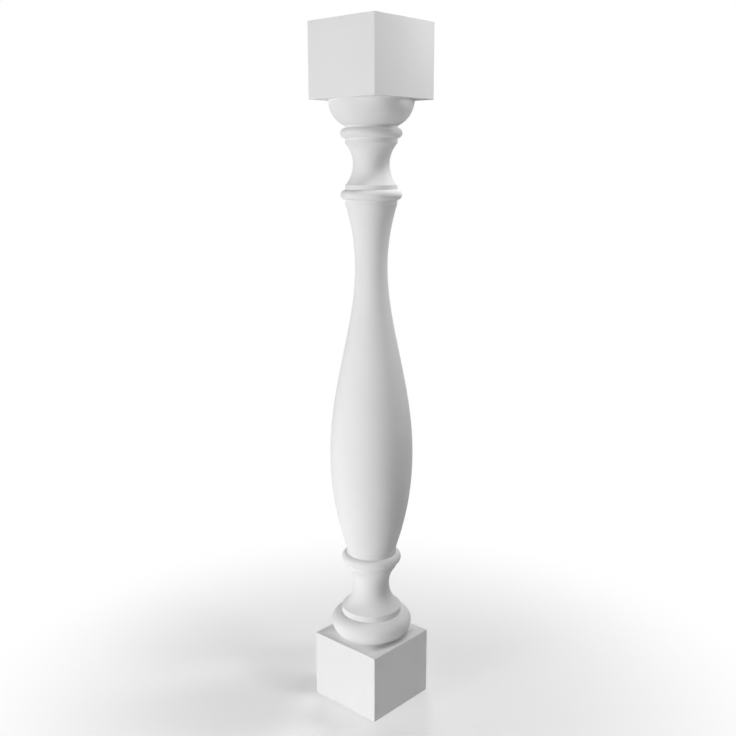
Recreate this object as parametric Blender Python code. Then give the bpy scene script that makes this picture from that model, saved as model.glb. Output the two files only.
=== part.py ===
"""Turned baluster between two square end blocks, moulded in one piece.

Units are metres and +Z is up. The origin is the centre of the underside, and the
faces of both blocks are square to X and Y.
"""

import math

import bmesh
import bpy
from mathutils import Vector
from mathutils.geometry import interpolate_bezier

# Overall height and the two square end blocks
TOTAL_HEIGHT = 0.900
BLOCK_SIDE = 0.110
LOWER_BLOCK_HEIGHT = 0.092
UPPER_BLOCK_HEIGHT = 0.092
BLOCK_ARRIS = 0.0008

# Torus that sits on the lower block
TORUS_INSET = 0.0002
TORUS_LOWER_RISE = 0.0204
TORUS_UPPER_RISE = 0.0127

# Square fillet over the torus
BASE_FILLET_RADIUS = 0.0405
BASE_FILLET_HEIGHT = 0.0085

# Hollow between the base and the collar under the vase
LOWER_HOLLOW_RADIUS = 0.0241
LOWER_HOLLOW_FOOT_RISE = 0.0325
LOWER_HOLLOW_HEAD_RISE = 0.0258

# Collar under the vase
FOOT_FILLET_RADIUS = 0.0334
FOOT_FILLET_HEIGHT = 0.0059
FOOT_BEAD_PROJECTION = 0.0068
FOOT_BEAD_HEIGHT = 0.0139

# Vase, which takes up what the mouldings leave of the height
VASE_FOOT_RADIUS = 0.0337
VASE_FOOT_HEIGHT = 0.0084
BELLY_RADIUS = 0.0550
BELLY_RISE = 0.1308
NECK_RADIUS = 0.0208
NECK_DROP = 0.0786
BELLY_FULLNESS = 0.378
NECK_FULLNESS = 0.315

# Collar over the vase
COLLAR_RADIUS = 0.0329
NECK_FILLET_HEIGHT = 0.0056
NECK_BEAD_PROJECTION = 0.0060
NECK_BEAD_HEIGHT = 0.0123
COLLAR_FILLET_HEIGHT = 0.0061

# Hollow between the two upper collars
UPPER_HOLLOW_RADIUS = 0.0230
UPPER_HOLLOW_FOOT_RISE = 0.0254
UPPER_HOLLOW_HEAD_RISE = 0.0261

# Collar under the ovolo
CAP_FILLET_HEIGHT = 0.0060
CAP_BEAD_PROJECTION = 0.0060
CAP_BEAD_HEIGHT = 0.0121
QUIRK_HEIGHT = 0.0025

# Ovolo that carries the upper block
OVOLO_HEIGHT = 0.0316
OVOLO_INSET = 0.0012
OVOLO_BULGE = 0.0055

# The turned form runs this far into each block, where the two are fused
FUSED_DEPTH = 0.010

# Facets round the axis, and along each kind of curve
TURN_STEPS = 48
QUARTER_STEPS = 5
BEAD_STEPS = 6
HOLLOW_STEPS = 5
VASE_FOOT_STEPS = 9
VASE_WAIST_STEPS = 16
VASE_NECK_STEPS = 6
SHARP_ANGLE = math.radians(30)

# White matt finish
PAINT_COLOUR = (0.80, 0.80, 0.80, 1.0)
PAINT_ROUGHNESS = 0.5


def clear_scene():
    """Remove every object of the open scene."""
    for old in list(bpy.context.scene.objects):
        bpy.data.objects.remove(old, do_unlink=True)


def paint_material():
    """White matt coating."""
    material = bpy.data.materials.new("white_paint")
    material.use_nodes = True
    shader = material.node_tree.nodes["Principled BSDF"]
    shader.inputs["Base Color"].default_value = PAINT_COLOUR
    shader.inputs["Roughness"].default_value = PAINT_ROUGHNESS
    shader.inputs["Metallic"].default_value = 0.0
    material.diffuse_color = PAINT_COLOUR
    return material


def oval_arc(centre, reach, rise, first_degrees, last_degrees, steps):
    """Points on an ellipse round centre; 0 degrees is its outermost point."""
    points = []
    for step in range(steps + 1):
        share = step / steps
        angle = math.radians(first_degrees + (last_degrees - first_degrees) * share)
        points.append(centre + Vector((reach * math.cos(angle), rise * math.sin(angle))))
    return points


def upright_arc(crown, end, steps):
    """Points from crown, where the circle runs straight up, to end."""
    out, up = end - crown
    radius = (out * out + up * up) / (2 * abs(out))
    sweep = math.atan2(abs(up), radius - abs(out))
    points = []
    for step in range(steps + 1):
        angle = sweep * step / steps
        out_here = math.copysign(radius * (1 - math.cos(angle)), out)
        up_here = math.copysign(radius * math.sin(angle), up)
        points.append(crown + Vector((out_here, up_here)))
    return points


def bulging_arc(start, end, bulge, steps):
    """Points on the circle from start to end that stands out by bulge from its chord."""
    chord = end - start
    outward = Vector((chord.y, -chord.x)).normalized()
    radius = (chord.length_squared / 4 + bulge * bulge) / (2 * bulge)
    centre = (start + end) / 2 + outward * (bulge - radius)
    half_sweep = math.asin(chord.length / 2 / radius)
    points = []
    for step in range(steps + 1):
        angle = half_sweep * (2 * step / steps - 1)
        along = chord.normalized() * math.sin(angle)
        points.append(centre + radius * (outward * math.cos(angle) + along))
    return points


def bead(radius, projection, foot, height):
    """Half-round that stands out from a collar of the given radius."""
    centre = Vector((radius, foot + height / 2))
    return oval_arc(centre, projection, height / 2, -90, 90, BEAD_STEPS)


def hollow(foot, neck, head):
    """Scotia: two arcs that meet at the neck, its narrowest point."""
    below = upright_arc(neck, foot, HOLLOW_STEPS)
    above = upright_arc(neck, head, HOLLOW_STEPS)
    return below[::-1] + above[1:]


def base_outline(foot):
    """Torus and fillet on the lower block, from the height foot upwards."""
    torus_radius = BLOCK_SIDE / 2 - TORUS_INSET
    crown = foot + TORUS_LOWER_RISE
    fillet_foot = crown + TORUS_UPPER_RISE
    lower_centre = Vector((torus_radius - TORUS_LOWER_RISE, crown))
    upper_centre = Vector((BASE_FILLET_RADIUS, crown))
    shoulder = torus_radius - BASE_FILLET_RADIUS
    points = oval_arc(lower_centre, TORUS_LOWER_RISE, TORUS_LOWER_RISE, -90, 0, QUARTER_STEPS)
    points += oval_arc(upper_centre, shoulder, TORUS_UPPER_RISE, 0, 90, QUARTER_STEPS)[1:]
    points.append(Vector((BASE_FILLET_RADIUS, fillet_foot + BASE_FILLET_HEIGHT)))
    return points


def lower_hollow_outline(foot):
    """Hollow that leads from the base fillet in to its neck and out to the collar."""
    neck = foot.y + LOWER_HOLLOW_FOOT_RISE
    head = Vector((FOOT_FILLET_RADIUS, neck + LOWER_HOLLOW_HEAD_RISE))
    return hollow(foot, Vector((LOWER_HOLLOW_RADIUS, neck)), head)[1:]


def foot_collar_outline(foot):
    """Fillet and bead under the vase."""
    bead_foot = foot + FOOT_FILLET_HEIGHT
    return bead(FOOT_FILLET_RADIUS, FOOT_BEAD_PROJECTION, bead_foot, FOOT_BEAD_HEIGHT)


def vase_outline(foot, head):
    """Vase from its upright foot, over the belly and the neck, to the collar on top."""
    foot_head = Vector((VASE_FOOT_RADIUS, foot + VASE_FOOT_HEIGHT))
    belly = Vector((BELLY_RADIUS, foot_head.y + BELLY_RISE))
    neck = Vector((NECK_RADIUS, head - NECK_DROP))
    waist = neck.y - belly.y
    belly_handle = belly + Vector((0, waist * BELLY_FULLNESS))
    neck_handle = neck - Vector((0, waist * NECK_FULLNESS))
    points = [Vector((VASE_FOOT_RADIUS, foot))]
    points += upright_arc(belly, foot_head, VASE_FOOT_STEPS)[::-1]
    points += interpolate_bezier(belly, belly_handle, neck_handle, neck, VASE_WAIST_STEPS + 1)[1:]
    points += upright_arc(neck, Vector((COLLAR_RADIUS, head)), VASE_NECK_STEPS)[1:]
    return points


def neck_collar_outline(foot):
    """Fillet, bead and fillet over the vase."""
    bead_foot = foot + NECK_FILLET_HEIGHT
    points = bead(COLLAR_RADIUS, NECK_BEAD_PROJECTION, bead_foot, NECK_BEAD_HEIGHT)
    points.append(Vector((COLLAR_RADIUS, points[-1].y + COLLAR_FILLET_HEIGHT)))
    return points


def upper_hollow_outline(foot):
    """Hollow between the collar over the vase and the one under the ovolo."""
    neck = foot.y + UPPER_HOLLOW_FOOT_RISE
    head = Vector((COLLAR_RADIUS, neck + UPPER_HOLLOW_HEAD_RISE))
    return hollow(foot, Vector((UPPER_HOLLOW_RADIUS, neck)), head)[1:]


def cap_outline(foot):
    """Fillet and bead, the narrow quirk over them, and the ovolo up to the block."""
    bead_foot = foot + CAP_FILLET_HEIGHT
    points = bead(COLLAR_RADIUS, CAP_BEAD_PROJECTION, bead_foot, CAP_BEAD_HEIGHT)
    lip = Vector((COLLAR_RADIUS, points[-1].y + QUIRK_HEIGHT))
    ovolo_head = Vector((BLOCK_SIDE / 2 - OVOLO_INSET, lip.y + OVOLO_HEIGHT))
    points += bulging_arc(lip, ovolo_head, OVOLO_BULGE, QUARTER_STEPS)
    return points


def neck_collar_foot():
    """Height of the vase's top, set by the mouldings stacked under the upper block."""
    cap = CAP_FILLET_HEIGHT + CAP_BEAD_HEIGHT + QUIRK_HEIGHT + OVOLO_HEIGHT
    upper_hollow = UPPER_HOLLOW_FOOT_RISE + UPPER_HOLLOW_HEAD_RISE
    collar = NECK_FILLET_HEIGHT + NECK_BEAD_HEIGHT + COLLAR_FILLET_HEIGHT
    return TOTAL_HEIGHT - UPPER_BLOCK_HEIGHT - cap - upper_hollow - collar


def turned_outline():
    """Radius and height of every point of the turned form, from the bottom up."""
    outline = base_outline(LOWER_BLOCK_HEIGHT)
    outline += lower_hollow_outline(outline[-1])
    outline += foot_collar_outline(outline[-1].y)
    outline += vase_outline(outline[-1].y, neck_collar_foot())
    outline += neck_collar_outline(outline[-1].y)
    outline += upper_hollow_outline(outline[-1])
    outline += cap_outline(outline[-1].y)
    sunk = Vector((0, FUSED_DEPTH))
    return [outline[0] - sunk] + outline + [outline[-1] + sunk]


def object_from(bm, name, material):
    """Turn a bmesh into a named object of the scene."""
    bmesh.ops.recalc_face_normals(bm, faces=bm.faces)
    mesh = bpy.data.meshes.new(name)
    bm.to_mesh(mesh)
    bm.free()
    mesh.materials.append(material)
    piece = bpy.data.objects.new(name, mesh)
    bpy.context.collection.objects.link(piece)
    return piece


def turned_form(name, material):
    """Spin the outline round Z and close both ends."""
    bm = bmesh.new()
    stations = [bm.verts.new((point.x, 0, point.y)) for point in turned_outline()]
    edges = [bm.edges.new(pair) for pair in zip(stations, stations[1:])]
    bmesh.ops.spin(bm, geom=stations + edges, axis=(0, 0, 1), cent=(0, 0, 0),
                   angle=math.tau, steps=TURN_STEPS, use_merge=True)
    bmesh.ops.holes_fill(bm, edges=[edge for edge in bm.edges if edge.is_boundary])
    piece = object_from(bm, name, material)
    piece.data.shade_smooth()
    piece.data.set_sharp_from_angle(angle=SHARP_ANGLE)
    return piece


def block_form(name, foot, height, material):
    """Square block with lightly eased arrises, kept as a guide for the union."""
    bm = bmesh.new()
    bmesh.ops.create_cube(bm, size=1)
    bmesh.ops.scale(bm, vec=(BLOCK_SIDE, BLOCK_SIDE, height), verts=bm.verts)
    bmesh.ops.translate(bm, vec=(0, 0, foot + height / 2), verts=bm.verts)
    bmesh.ops.bevel(bm, geom=bm.edges, offset=BLOCK_ARRIS, segments=1, affect="EDGES")
    block = object_from(bm, name, material)
    block.hide_render = True
    block.display_type = "WIRE"
    return block


def fuse(piece, guide):
    """Join a guide's form to the piece as one solid."""
    union = piece.modifiers.new(f"fuse_{guide.name}", "BOOLEAN")
    union.operation = "UNION"
    union.solver = "EXACT"
    union.object = guide


def baluster():
    """The whole piece: the turned form fused with its two end blocks."""
    material = paint_material()
    piece = turned_form("baluster", material)
    upper_foot = TOTAL_HEIGHT - UPPER_BLOCK_HEIGHT
    fuse(piece, block_form("lower_block", 0, LOWER_BLOCK_HEIGHT, material))
    fuse(piece, block_form("upper_block", upper_foot, UPPER_BLOCK_HEIGHT, material))
    return piece


clear_scene()
baluster()
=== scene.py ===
import math

import bmesh
import bpy
from mathutils import Matrix, Vector
from mathutils.geometry import interpolate_bezier


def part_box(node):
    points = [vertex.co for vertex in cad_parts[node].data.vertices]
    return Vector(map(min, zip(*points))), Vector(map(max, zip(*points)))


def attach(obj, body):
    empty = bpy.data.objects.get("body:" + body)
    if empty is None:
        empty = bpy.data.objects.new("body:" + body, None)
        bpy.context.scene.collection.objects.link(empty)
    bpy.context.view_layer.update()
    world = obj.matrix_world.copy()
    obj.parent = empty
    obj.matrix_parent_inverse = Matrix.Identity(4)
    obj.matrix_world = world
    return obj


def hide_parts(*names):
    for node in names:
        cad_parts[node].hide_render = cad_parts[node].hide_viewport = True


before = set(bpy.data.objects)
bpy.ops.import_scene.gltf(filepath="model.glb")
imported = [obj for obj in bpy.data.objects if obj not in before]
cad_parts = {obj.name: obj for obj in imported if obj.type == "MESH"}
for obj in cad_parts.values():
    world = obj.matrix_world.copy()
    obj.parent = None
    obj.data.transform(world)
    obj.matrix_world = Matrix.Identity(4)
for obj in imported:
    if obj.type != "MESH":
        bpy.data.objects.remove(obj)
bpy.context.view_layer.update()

# Lengths are in metres, and angles in radians except where degrees are named. A rise goes
# up from the place below it, a drop down from the place above it, and an inset in from
# the block's face. The outer sizes come from the frame.
low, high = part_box("baluster")
TOTAL_HEIGHT = high.z
BLOCK_SIDE = high.x - low.x

# End blocks, with the radius of their rounded arrises, and the torus on the lower one
BLOCK_HEIGHT = 0.092
BLOCK_ARRIS = 0.0006
TORUS_INSET = 0.0002
TORUS_LOWER_RISE = 0.0204
TORUS_UPPER_RISE = 0.0127

# Fillet and hollow over the torus
BASE_FILLET_RADIUS = 0.0405
BASE_FILLET_HEIGHT = 0.0085
LOWER_HOLLOW_RADIUS = 0.0241
LOWER_HOLLOW_FOOT_RISE = 0.0325
LOWER_HOLLOW_HEAD_RISE = 0.0258

# Collar under the vase
FOOT_FILLET_RADIUS = 0.0334
FOOT_FILLET_HEIGHT = 0.0059
FOOT_BEAD_PROJECTION = 0.0068
FOOT_BEAD_HEIGHT = 0.0139

# Vase. The curve between belly and neck has an upright handle at either end. A fullness
# is the length of that handle, as a share of the height from belly to neck.
VASE_FOOT_RADIUS = 0.0337
VASE_FOOT_HEIGHT = 0.0084
BELLY_RADIUS = 0.0550
BELLY_RISE = 0.1308
NECK_RADIUS = 0.0208
NECK_DROP = 0.0786
BELLY_FULLNESS = 0.378
NECK_FULLNESS = 0.315

# Collar over the vase, and the hollow over that
COLLAR_RADIUS = 0.0329
NECK_FILLET_HEIGHT = 0.0056
NECK_BEAD_PROJECTION = 0.0060
NECK_BEAD_HEIGHT = 0.0123
COLLAR_FILLET_HEIGHT = 0.0061
UPPER_HOLLOW_RADIUS = 0.0230
UPPER_HOLLOW_FOOT_RISE = 0.0254
UPPER_HOLLOW_HEAD_RISE = 0.0261

# Cap under the upper block
CAP_FILLET_HEIGHT = 0.0060
CAP_BEAD_PROJECTION = 0.0060
CAP_BEAD_HEIGHT = 0.0121
QUIRK_HEIGHT = 0.0025
OVOLO_HEIGHT = 0.0316
OVOLO_INSET = 0.0012
OVOLO_BULGE = 0.0055

# Crisp corners of the mouldings: the radius that they are eased over, the least turn
# that counts as a corner, and the most of a segment that its easing may take
EASED_RADIUS = 0.00045
EASED_STEPS = 3
EASED_FROM = math.radians(14)
EASED_SHARE = 0.4

# A row of points lies this close beside each rounding, so that the flats shade flat. It
# is also the least corner radius of a square ring.
SUPPORT_GAP = 0.00012

# Fineness of the surface: steps round the axis, and along each kind of curve
TURN_STEPS = 192
CORNER_STEPS = 6
QUARTER_STEPS = 16
BEAD_STEPS = 26
HOLLOW_STEPS = 22
VASE_FOOT_STEPS = 28
VASE_WAIST_STEPS = 46
VASE_NECK_STEPS = 22

# White coating: the colour and the roughness with how far each strays, the shader's
# specular level, and the depths of the stipple and of the low waves
PAINT_COLOUR = 0.80
PAINT_MOTTLE = 0.012
PAINT_ROUGHNESS = 0.72
PAINT_UNEVENNESS = 0.06
PAINT_GLOSS = 0.35
PAINT_STIPPLE = 0.00009
PAINT_WAVES = 0.0002

# Noises behind them: the size of one patch, the levels of finer detail in it, and the
# range that most of a noise's values lie in
MOTTLE_SIZE = 0.080
MOTTLE_DETAIL = 4
SHEEN_SIZE = 0.025
SHEEN_DETAIL = 5
STIPPLE_SIZE = 0.0022
WAVE_SIZE = 0.014
SKIN_DETAIL = 2
NOISE_LOW = 0.3
NOISE_HIGH = 0.7

# Camera, solved from the corners of both blocks in the photograph: its bearing from the
# front, its distance from the axis and its height, then how far it is pitched down,
# panned left and rolled, and its angle of view
CAMERA_AZIMUTH = math.radians(42.18)
CAMERA_REACH = 1.1963
CAMERA_HEIGHT = 0.7244
CAMERA_PITCH = math.radians(12.089)
CAMERA_PAN = math.radians(0.216)
CAMERA_ROLL = math.radians(-0.07)
CAMERA_VIEW_ANGLE = math.radians(43.15)

# Stage: a pale floor in a white room. For the camera alone the lift brightens the floor,
# and from the fade's start to its end, measured from the axis, the floor turns white.
# The glow is the room's light on the baluster.
FLOOR_RADIUS = 1.6
FLOOR_GAP = 0.0001
FLOOR_STEPS = 96
FLOOR_COLOUR = 0.90
FLOOR_ROUGHNESS = 0.8
FLOOR_LIFT = 0.16
FLOOR_FADE_START = 0.10
FLOOR_FADE_END = 0.60
ROOM_GLOW = 0.02

# Soft round lights aimed at the middle of the baluster: bearing from the camera's side
# of the axis in degrees, to the camera's right; distance from the axis; height; width;
# power in watts
ROUND_LIGHTS = {
    "low_left": (-45, 1.1, 0.15, 0.5, 5.8),
    "high_left": (-60, 0.8, 0.90, 0.3, 0.9),
    "high_front": (0, 0.45, 1.40, 0.06, 0.8),
    "front_right": (45, 0.55, 0.75, 0.2, 0.36),
    "rim_right": (105, 0.55, 1.00, 0.2, 1.4),
    "upper_right": (100, 0.31, 1.15, 0.06, 0.78),
    "overhead": (60, 0.6, 2.20, 0.15, 4.8),
    "back": (180, 1.1, 1.10, 0.5, 4.5),
}

# Broad washes without shadows, for the light of the whole room: bearing and elevation in
# degrees, and strength
WASHES = {
    "left_wash": (-60, -5, 0.63),
    "front_left_wash": (-30, 20, 0.34),
    "back_left_wash": (-120, -5, 0.51),
    "back_right_wash": (120, 20, 0.42),
}
WASH_SPREAD = math.radians(10)


def oval_arc(centre, reach, rise, first_degrees, last_degrees, steps):
    """Points on an ellipse round centre; 0 degrees is its outermost point."""
    points = []
    for step in range(steps + 1):
        share = step / steps
        angle = math.radians(first_degrees + (last_degrees - first_degrees) * share)
        points.append(centre + Vector((reach * math.cos(angle), rise * math.sin(angle))))
    return points


def upright_arc(crown, end, steps):
    """Points from crown, where the circle runs straight up, to end."""
    out, up = end - crown
    radius = (out * out + up * up) / (2 * abs(out))
    sweep = math.atan2(abs(up), radius - abs(out))
    points = []
    for step in range(steps + 1):
        angle = sweep * step / steps
        out_here = math.copysign(radius * (1 - math.cos(angle)), out)
        up_here = math.copysign(radius * math.sin(angle), up)
        points.append(crown + Vector((out_here, up_here)))
    return points


def bulging_arc(start, end, bulge, steps):
    """Points on the circle from start to end that stands out by bulge from its chord."""
    chord = end - start
    outward = Vector((chord.y, -chord.x)).normalized()
    radius = (chord.length_squared / 4 + bulge * bulge) / (2 * bulge)
    centre = (start + end) / 2 + outward * (bulge - radius)
    half_sweep = math.asin(chord.length / 2 / radius)
    points = []
    for step in range(steps + 1):
        angle = half_sweep * (2 * step / steps - 1)
        along = chord.normalized() * math.sin(angle)
        points.append(centre + radius * (outward * math.cos(angle) + along))
    return points


def bead(radius, projection, foot, height):
    """Half-round that stands out from a collar of the given radius."""
    centre = Vector((radius, foot + height / 2))
    return oval_arc(centre, projection, height / 2, -90, 90, BEAD_STEPS)


def hollow(foot, neck, head):
    """Scotia: two arcs that meet at the neck, its narrowest point."""
    below = upright_arc(neck, foot, HOLLOW_STEPS)
    above = upright_arc(neck, head, HOLLOW_STEPS)
    return below[::-1] + above[1:]


def base_outline():
    """Torus and fillet on the lower block."""
    torus_radius = BLOCK_SIDE / 2 - TORUS_INSET
    crown = BLOCK_HEIGHT + TORUS_LOWER_RISE
    fillet_foot = crown + TORUS_UPPER_RISE
    lower_centre = Vector((torus_radius - TORUS_LOWER_RISE, crown))
    upper_centre = Vector((BASE_FILLET_RADIUS, crown))
    shoulder = torus_radius - BASE_FILLET_RADIUS
    points = oval_arc(lower_centre, TORUS_LOWER_RISE, TORUS_LOWER_RISE, -90, 0, QUARTER_STEPS)
    points += oval_arc(upper_centre, shoulder, TORUS_UPPER_RISE, 0, 90, QUARTER_STEPS)[1:]
    points.append(Vector((BASE_FILLET_RADIUS, fillet_foot + BASE_FILLET_HEIGHT)))
    return points


def lower_hollow_outline(foot):
    """Hollow between the base fillet and the collar under the vase."""
    neck = foot.y + LOWER_HOLLOW_FOOT_RISE
    head = Vector((FOOT_FILLET_RADIUS, neck + LOWER_HOLLOW_HEAD_RISE))
    return hollow(foot, Vector((LOWER_HOLLOW_RADIUS, neck)), head)[1:]


def foot_collar_outline(foot):
    """Fillet and bead under the vase."""
    bead_foot = foot + FOOT_FILLET_HEIGHT
    return bead(FOOT_FILLET_RADIUS, FOOT_BEAD_PROJECTION, bead_foot, FOOT_BEAD_HEIGHT)


def vase_outline(foot, head):
    """Vase from its upright foot, over the belly and the neck, to the collar on top."""
    foot_head = Vector((VASE_FOOT_RADIUS, foot + VASE_FOOT_HEIGHT))
    belly = Vector((BELLY_RADIUS, foot_head.y + BELLY_RISE))
    neck = Vector((NECK_RADIUS, head - NECK_DROP))
    waist = neck.y - belly.y
    belly_handle = belly + Vector((0, waist * BELLY_FULLNESS))
    neck_handle = neck - Vector((0, waist * NECK_FULLNESS))
    points = [Vector((VASE_FOOT_RADIUS, foot))]
    points += upright_arc(belly, foot_head, VASE_FOOT_STEPS)[::-1]
    points += interpolate_bezier(belly, belly_handle, neck_handle, neck, VASE_WAIST_STEPS + 1)[1:]
    points += upright_arc(neck, Vector((COLLAR_RADIUS, head)), VASE_NECK_STEPS)[1:]
    return points


def neck_collar_outline(foot):
    """Fillet, bead and fillet over the vase."""
    bead_foot = foot + NECK_FILLET_HEIGHT
    points = bead(COLLAR_RADIUS, NECK_BEAD_PROJECTION, bead_foot, NECK_BEAD_HEIGHT)
    points.append(Vector((COLLAR_RADIUS, points[-1].y + COLLAR_FILLET_HEIGHT)))
    return points


def upper_hollow_outline(foot):
    """Hollow between the collar over the vase and the one under the ovolo."""
    neck = foot.y + UPPER_HOLLOW_FOOT_RISE
    head = Vector((COLLAR_RADIUS, neck + UPPER_HOLLOW_HEAD_RISE))
    return hollow(foot, Vector((UPPER_HOLLOW_RADIUS, neck)), head)[1:]


def cap_outline(foot):
    """Fillet and bead, the narrow quirk over them, and the ovolo up to the block."""
    bead_foot = foot + CAP_FILLET_HEIGHT
    points = bead(COLLAR_RADIUS, CAP_BEAD_PROJECTION, bead_foot, CAP_BEAD_HEIGHT)
    lip = Vector((COLLAR_RADIUS, points[-1].y + QUIRK_HEIGHT))
    ovolo_head = Vector((BLOCK_SIDE / 2 - OVOLO_INSET, lip.y + OVOLO_HEIGHT))
    points += bulging_arc(lip, ovolo_head, OVOLO_BULGE, QUARTER_STEPS)
    return points


def neck_collar_foot():
    """Height of the vase's top, set by the mouldings stacked under the upper block."""
    cap = CAP_FILLET_HEIGHT + CAP_BEAD_HEIGHT + QUIRK_HEIGHT + OVOLO_HEIGHT
    upper_hollow = UPPER_HOLLOW_FOOT_RISE + UPPER_HOLLOW_HEAD_RISE
    collar = NECK_FILLET_HEIGHT + NECK_BEAD_HEIGHT + COLLAR_FILLET_HEIGHT
    return TOTAL_HEIGHT - BLOCK_HEIGHT - cap - upper_hollow - collar


def turned_outline():
    """Radius and height of every point of the turned form, from block to block."""
    outline = base_outline()
    outline += lower_hollow_outline(outline[-1])
    outline += foot_collar_outline(outline[-1].y)
    outline += vase_outline(outline[-1].y, neck_collar_foot())
    outline += neck_collar_outline(outline[-1].y)
    outline += upper_hollow_outline(outline[-1])
    outline += cap_outline(outline[-1].y)
    return outline


def eased(outline):
    """The outline with each crisp corner, inner or outer, turned through a small arc."""
    points = [outline[0]]
    for before, corner, after in zip(outline, outline[1:], outline[2:]):
        arriving = corner - before
        leaving = after - corner
        turn = arriving.angle(leaving)
        if turn < EASED_FROM:
            points.append(corner)
            continue
        setback = EASED_RADIUS * math.tan(turn / 2)
        setback = min(setback, arriving.length * EASED_SHARE, leaving.length * EASED_SHARE)
        gap = min(SUPPORT_GAP, setback)
        start = corner - arriving.normalized() * setback
        end = corner + leaving.normalized() * setback
        points.append(start - arriving.normalized() * gap)
        for step in range(EASED_STEPS + 1):
            share = step / EASED_STEPS
            first = start.lerp(corner, share)
            points.append(first.lerp(corner.lerp(end, share), share))
        points.append(end + leaving.normalized() * gap)
    points.append(outline[-1])
    return points


def circle(radius):
    """Points of one ring of the turned form, starting on the diagonal between +X and -Y."""
    points = []
    for step in range(TURN_STEPS):
        angle = math.tau * step / TURN_STEPS - math.pi / 4
        points.append((radius * math.cos(angle), radius * math.sin(angle)))
    return points


def square(half_side, corner_radius):
    """Points of one square ring with rounded corners, one for each point of a circle."""
    side_steps = TURN_STEPS // 4 - CORNER_STEPS
    flat = half_side - corner_radius
    run = 2 * flat
    shares = [0, SUPPORT_GAP / run]
    shares += [step / (side_steps - 2) for step in range(1, side_steps - 2)]
    shares += [1 - SUPPORT_GAP / run, 1]
    points = []
    for side in range(4):
        turn = Matrix.Rotation(side * math.pi / 2, 2)
        for step in range(CORNER_STEPS // 2, CORNER_STEPS):
            angle = math.pi / 2 * step / CORNER_STEPS - math.pi / 2
            corner = Vector((flat + corner_radius * math.cos(angle),
                             -flat + corner_radius * math.sin(angle)))
            points.append(turn @ corner)
        for share in shares[:-1]:
            points.append(turn @ Vector((half_side, -flat + run * share)))
        for step in range(CORNER_STEPS // 2):
            angle = math.pi / 2 * step / CORNER_STEPS
            corner = Vector((flat + corner_radius * math.cos(angle),
                             flat + corner_radius * math.sin(angle)))
            points.append(turn @ corner)
    return [(point.x, point.y) for point in points]


def block_rings(foot, head):
    """Square rings of one block from foot to head, with rounded arrises at both."""
    half = BLOCK_SIDE / 2
    rings = [(square(half - BLOCK_ARRIS - SUPPORT_GAP, SUPPORT_GAP), foot)]
    for step in range(CORNER_STEPS + 1):
        angle = math.pi / 2 * step / CORNER_STEPS
        inset = BLOCK_ARRIS * (1 - math.sin(angle))
        corner_radius = max(BLOCK_ARRIS - inset, SUPPORT_GAP)
        rise = BLOCK_ARRIS * (1 - math.cos(angle))
        rings.append((square(half - inset, corner_radius), foot + rise))
    middle = (foot + head) / 2
    rings.append((square(half, BLOCK_ARRIS), foot + BLOCK_ARRIS + SUPPORT_GAP))
    rings.append((square(half, BLOCK_ARRIS), middle))
    mirrored = [(ring, foot + head - height) for ring, height in rings[:-1]]
    return rings + mirrored[::-1]


def shell(rings):
    """One closed mesh through all rings, with a flat cap at either end."""
    bm = bmesh.new()
    loops = []
    for outline, height in rings:
        loops.append([bm.verts.new((x, y, height)) for x, y in outline])
    for lower, upper in zip(loops, loops[1:]):
        for step in range(TURN_STEPS):
            after = (step + 1) % TURN_STEPS
            bm.faces.new((lower[step], lower[after], upper[after], upper[step]))
    bm.faces.new(loops[0][::-1])
    bm.faces.new(loops[-1])
    bmesh.ops.recalc_face_normals(bm, faces=bm.faces)
    mesh = bpy.data.meshes.new("baluster_surface")
    bm.to_mesh(mesh)
    bm.free()
    mesh.shade_smooth()
    return mesh


def baluster_surface():
    """The whole baluster as one fine surface that stands for the plain solid."""
    turned = [(circle(point.x), point.y) for point in eased(turned_outline())]
    rings = block_rings(0, BLOCK_HEIGHT)
    rings += turned
    rings += block_rings(TOTAL_HEIGHT - BLOCK_HEIGHT, TOTAL_HEIGHT)
    piece = bpy.data.objects.new("baluster_surface", shell(rings))
    bpy.context.scene.collection.objects.link(piece)
    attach(piece, "root")
    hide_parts("baluster")
    return piece


def white_paint():
    """Matt white coating on moulded foam: faint mottle, uneven sheen and a fine skin."""
    material = bpy.data.materials.new("white_paint")
    material.use_nodes = True
    nodes = material.node_tree.nodes
    links = material.node_tree.links
    shader = nodes["Principled BSDF"]
    shader.inputs["Specular IOR Level"].default_value = PAINT_GLOSS
    place = nodes.new("ShaderNodeTexCoord").outputs["Object"]

    mottle = noise(material, place, MOTTLE_SIZE, MOTTLE_DETAIL)
    tint = spread(material, mottle, PAINT_COLOUR, PAINT_MOTTLE)
    links.new(tint, shader.inputs["Base Color"])

    sheen = noise(material, place, SHEEN_SIZE, SHEEN_DETAIL)
    roughness = spread(material, sheen, PAINT_ROUGHNESS, PAINT_UNEVENNESS)
    links.new(roughness, shader.inputs["Roughness"])

    stipple = noise(material, place, STIPPLE_SIZE, SKIN_DETAIL)
    waves = noise(material, place, WAVE_SIZE, SKIN_DETAIL)
    skin = bump(material, stipple, PAINT_STIPPLE)
    links.new(bump(material, waves, PAINT_WAVES, skin), shader.inputs["Normal"])
    return material


def noise(material, place, size, detail):
    """Noise value whose patches are about size metres across."""
    texture = material.node_tree.nodes.new("ShaderNodeTexNoise")
    texture.inputs["Scale"].default_value = 1 / size
    texture.inputs["Detail"].default_value = detail
    material.node_tree.links.new(place, texture.inputs["Vector"])
    return texture.outputs["Fac"]


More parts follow.
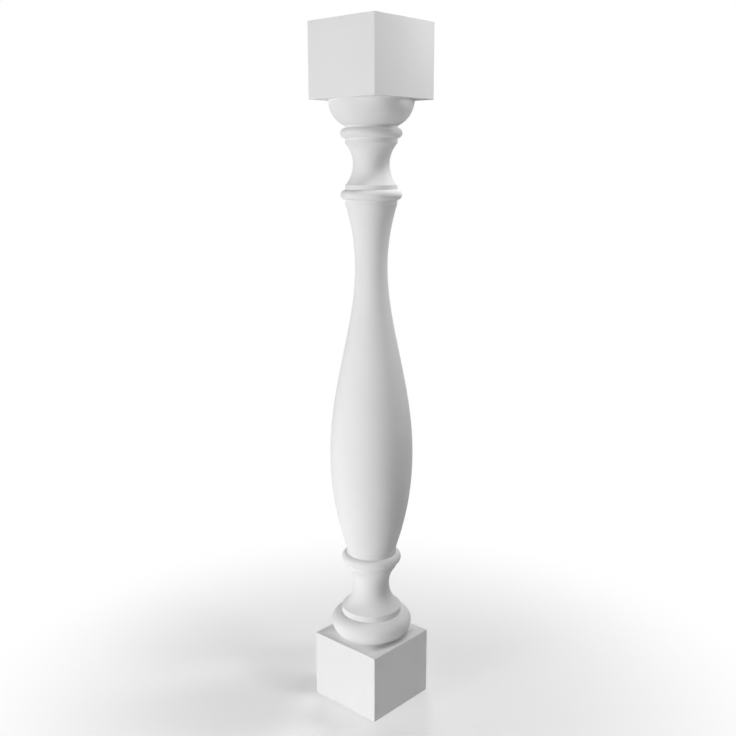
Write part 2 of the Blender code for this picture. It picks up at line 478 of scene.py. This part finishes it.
def spread(material, value, middle, stray):
    """The noise's usual range spread over the values up to stray either side of middle."""
    mapping = material.node_tree.nodes.new("ShaderNodeMapRange")
    mapping.inputs["From Min"].default_value = NOISE_LOW
    mapping.inputs["From Max"].default_value = NOISE_HIGH
    mapping.inputs["To Min"].default_value = middle - stray
    mapping.inputs["To Max"].default_value = middle + stray
    material.node_tree.links.new(value, mapping.inputs["Value"])
    return mapping.outputs["Result"]


def bump(material, height, depth, under=None):
    """Normal for a relief of the given depth in metres, on top of another normal."""
    relief = material.node_tree.nodes.new("ShaderNodeBump")
    relief.inputs["Distance"].default_value = depth
    relief.inputs["Strength"].default_value = 1
    material.node_tree.links.new(height, relief.inputs["Height"])
    if under is not None:
        material.node_tree.links.new(under, relief.inputs["Normal"])
    return relief.outputs["Normal"]


def floor_paint():
    """Pale floor. The camera sees it lifted towards white, and all white further out."""
    material = bpy.data.materials.new("pale_floor")
    material.use_nodes = True
    nodes = material.node_tree.nodes
    links = material.node_tree.links
    shader = nodes["Principled BSDF"]
    shader.inputs["Base Color"].default_value = (FLOOR_COLOUR, FLOOR_COLOUR, FLOOR_COLOUR, 1)
    shader.inputs["Roughness"].default_value = FLOOR_ROUGHNESS
    shader.inputs["Specular IOR Level"].default_value = 0
    shader.inputs["Emission Color"].default_value = (1, 1, 1, 1)
    seen = nodes.new("ShaderNodeLightPath").outputs["Is Camera Ray"]
    lift = nodes.new("ShaderNodeMath")
    lift.operation = "MULTIPLY"
    lift.inputs[1].default_value = FLOOR_LIFT
    links.new(seen, lift.inputs[0])
    links.new(lift.outputs["Value"], shader.inputs["Emission Strength"])

    white = nodes.new("ShaderNodeEmission")
    both = nodes.new("ShaderNodeMixShader")
    links.new(white_share(material, seen), both.inputs["Fac"])
    links.new(shader.outputs["BSDF"], both.inputs[1])
    links.new(white.outputs["Emission"], both.inputs[2])
    links.new(both.outputs["Shader"], nodes["Material Output"].inputs["Surface"])
    return material


def white_share(material, seen):
    """How white the floor is: 0 round the foot, 1 far out, and 0 for all but the camera."""
    nodes = material.node_tree.nodes
    links = material.node_tree.links
    reach = nodes.new("ShaderNodeVectorMath")
    reach.operation = "LENGTH"
    links.new(nodes.new("ShaderNodeTexCoord").outputs["Object"], reach.inputs[0])
    fade = nodes.new("ShaderNodeMapRange")
    fade.interpolation_type = "SMOOTHSTEP"
    fade.inputs["From Min"].default_value = FLOOR_FADE_START
    fade.inputs["From Max"].default_value = FLOOR_FADE_END
    links.new(reach.outputs["Value"], fade.inputs["Value"])
    share = nodes.new("ShaderNodeMath")
    share.operation = "MULTIPLY"
    links.new(fade.outputs["Result"], share.inputs[0])
    links.new(seen, share.inputs[1])
    return share.outputs["Value"]


def add_floor():
    """Round floor just under the lower block."""
    bm = bmesh.new()
    bmesh.ops.create_circle(bm, cap_ends=True, segments=FLOOR_STEPS, radius=FLOOR_RADIUS)
    mesh = bpy.data.meshes.new("floor")
    bm.to_mesh(mesh)
    bm.free()
    mesh.materials.append(floor_paint())
    floor = bpy.data.objects.new("floor", mesh)
    floor.location.z = -FLOOR_GAP
    bpy.context.scene.collection.objects.link(floor)


def add_room():
    """White all round for the camera, and only a faint glow as light."""
    world = bpy.data.worlds.new("room")
    world.use_nodes = True
    nodes = world.node_tree.nodes
    links = world.node_tree.links
    background = nodes["Background"]
    background.inputs["Color"].default_value = (1, 1, 1, 1)
    strength = nodes.new("ShaderNodeMapRange")
    strength.inputs["To Min"].default_value = ROOM_GLOW
    strength.inputs["To Max"].default_value = 1
    path = nodes.new("ShaderNodeLightPath").outputs["Is Camera Ray"]
    links.new(path, strength.inputs["Value"])
    links.new(strength.outputs["Result"], background.inputs["Strength"])
    bpy.context.scene.world = world


def toward(bearing, distance):
    """Place on the ground at a bearing, in degrees, from the camera's side of the axis."""
    angle = CAMERA_AZIMUTH + math.radians(bearing)
    return Vector((distance * math.sin(angle), -distance * math.cos(angle), 0))


def add_light(data, place, target):
    """Light at place, aimed at target."""
    light = bpy.data.objects.new(data.name, data)
    light.location = place
    light.rotation_euler = (target - place).to_track_quat("-Z", "Y").to_euler()
    bpy.context.scene.collection.objects.link(light)


def add_lights():
    """The round lights and the washes."""
    middle = Vector((0, 0, TOTAL_HEIGHT / 2))
    for name, (bearing, distance, height, width, power) in ROUND_LIGHTS.items():
        data = bpy.data.lights.new(name, "AREA")
        data.shape = "DISK"
        data.size = width
        data.energy = power
        add_light(data, toward(bearing, distance) + Vector((0, 0, height)), middle)
    for name, (bearing, elevation, strength) in WASHES.items():
        data = bpy.data.lights.new(name, "SUN")
        data.angle = WASH_SPREAD
        data.energy = strength
        data.use_shadow = False
        rise = Vector((0, 0, math.tan(math.radians(elevation))))
        add_light(data, middle + toward(bearing, 1) + rise, middle)


def add_camera():
    """Camera at the photograph's place, aimed just left of the turning axis."""
    data = bpy.data.cameras.new("camera")
    data.angle = CAMERA_VIEW_ANGLE
    camera = bpy.data.objects.new("camera", data)
    bpy.context.scene.collection.objects.link(camera)
    place = Vector((CAMERA_REACH * math.sin(CAMERA_AZIMUTH),
                    -CAMERA_REACH * math.cos(CAMERA_AZIMUTH), CAMERA_HEIGHT))
    turn = Matrix.Rotation(CAMERA_AZIMUTH + CAMERA_PAN, 4, "Z")
    tilt = Matrix.Rotation(math.pi / 2 - CAMERA_PITCH, 4, "X")
    roll = Matrix.Rotation(CAMERA_ROLL, 4, "Z")
    camera.matrix_world = Matrix.Translation(place) @ turn @ tilt @ roll
    bpy.context.scene.camera = camera


surface = baluster_surface()
surface.data.materials.append(white_paint())
add_floor()
add_room()
add_lights()
add_camera()
bpy.context.scene.view_settings.view_transform = "Standard"
